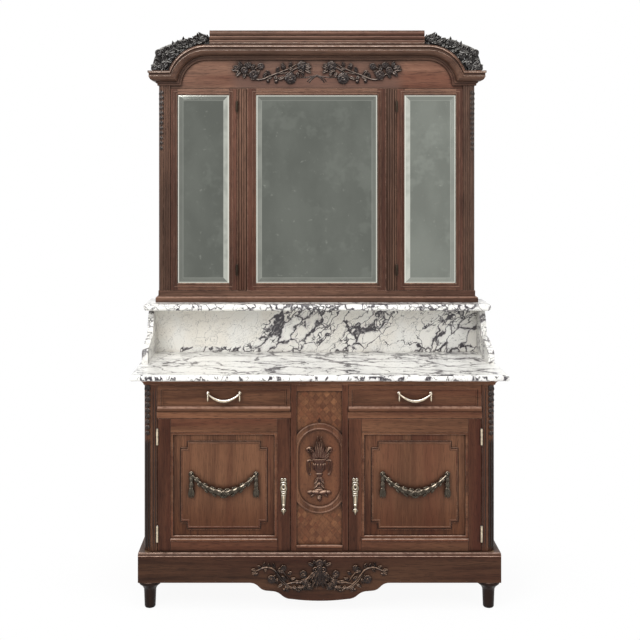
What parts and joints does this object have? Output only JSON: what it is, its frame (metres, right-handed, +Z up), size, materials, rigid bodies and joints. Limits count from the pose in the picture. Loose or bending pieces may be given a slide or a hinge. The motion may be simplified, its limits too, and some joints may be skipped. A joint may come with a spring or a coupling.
{
  "type": "marble-topped washstand with a triptych mirror",
  "caption": "Walnut washstand with marble top, splashback and shelf, drawers over panelled cupboard doors, and a tall mirror with hinged wings under an arched cornice.",
  "frame": {"origin": "on the floor under the middle of the stand", "axes": "+Z up, +X to the viewer's right, the front faces -Y"},
  "size_m": [1.35, 0.52, 2.117],
  "materials": {
    "walnut": "waxed",
    "carved_walnut": "waxed, darkened in the hollows",
    "parquetry": "waxed",
    "inner_wood": "plain",
    "marble": "polished",
    "mirror": "bevelled, slightly foxed",
    "brass": "worn",
    "iron": "dull"
  },
  "bodies": {
    "stand": {"plinth_front": "walnut", "plinth_sides": "walnut", "corner_post_left": "walnut", "corner_post_right": "walnut", "side_frames": "walnut", "carcass_rails": "walnut", "top_moulding": "walnut", "center_frame": "walnut", "medallion_ring": "walnut", "mirror_base": "walnut", "mirror_posts": "walnut", "mirror_mullions": "walnut", "frieze_board": "walnut", "cornice": "walnut", "center_mirror_frame": "walnut", "feet": "walnut", "urn_carving": "carved_walnut", "apron_carving": "carved_walnut", "corner_carvings": "carved_walnut", "frieze_carving": "carved_walnut", "center_panel": "parquetry", "back_boards": "inner_wood", "bottom_board": "inner_wood", "partitions": "inner_wood", "cupboard_shelves": "inner_wood", "mirror_backboard": "inner_wood", "marble_top": "marble", "splashback": "marble", "marble_brackets": "marble", "marble_shelf": "marble", "center_glass": "mirror", "fixed_hinge_leaves": "brass"},
    "door_left": {"door_left_frame": "walnut", "door_left_panel": "walnut", "door_left_moulding": "walnut", "door_left_swag": "carved_walnut", "door_left_escutcheon": "brass", "door_left_hinge_leaves": "brass", "door_left_lock": "iron"},
    "door_right": {"door_right_frame": "walnut", "door_right_panel": "walnut", "door_right_moulding": "walnut", "door_right_swag": "carved_walnut", "door_right_escutcheon": "brass", "door_right_hinge_leaves": "brass", "door_right_lock": "iron"},
    "bolt_left": {"lock_bolt_left": "iron"},
    "bolt_right": {"lock_bolt_right": "iron"},
    "drawer_left": {"drawer_left_front": "walnut", "drawer_left_box": "inner_wood", "drawer_left_pull": "brass"},
    "drawer_right": {"drawer_right_front": "walnut", "drawer_right_box": "inner_wood", "drawer_right_pull": "brass"},
    "wing_left": {"wing_left_frame": "walnut", "wing_left_glass": "mirror", "wing_left_hinge_leaves": "brass"},
    "wing_right": {"wing_right_frame": "walnut", "wing_right_glass": "mirror", "wing_right_hinge_leaves": "brass"}
  },
  "joints": [
    {"name": "door_left_hinge", "type": "hinge", "parent": "stand", "child": "door_left", "pos_m": [-0.58075, -0.2293, 0.443], "axis": [0, 0, -1], "range_deg": [0, 110]},
    {"name": "door_right_hinge", "type": "hinge", "parent": "stand", "child": "door_right", "pos_m": [0.58075, -0.2293, 0.443], "axis": [0, 0, 1], "range_deg": [0, 110]},
    {"name": "bolt_left_slide", "type": "slide", "parent": "door_left", "child": "bolt_left", "axis": [1, 0, 0], "range_m": [0, 0.008]},
    {"name": "bolt_right_slide", "type": "slide", "parent": "door_right", "child": "bolt_right", "axis": [-1, 0, 0], "range_m": [0, 0.008]},
    {"name": "drawer_left_slide", "type": "slide", "parent": "stand", "child": "drawer_left", "axis": [0, -1, 0], "range_m": [0, 0.3]},
    {"name": "drawer_right_slide", "type": "slide", "parent": "stand", "child": "drawer_right", "axis": [0, -1, 0], "range_m": [0, 0.3]},
    {"name": "wing_left_hinge", "type": "hinge", "parent": "stand", "child": "wing_left", "pos_m": [-0.31525, 0.1557, 1.493], "axis": [0, 0, 1], "range_deg": [0, 100]},
    {"name": "wing_right_hinge", "type": "hinge", "parent": "stand", "child": "wing_right", "pos_m": [0.31525, 0.1557, 1.493], "axis": [0, 0, -1], "range_deg": [0, 100]}
  ]
}
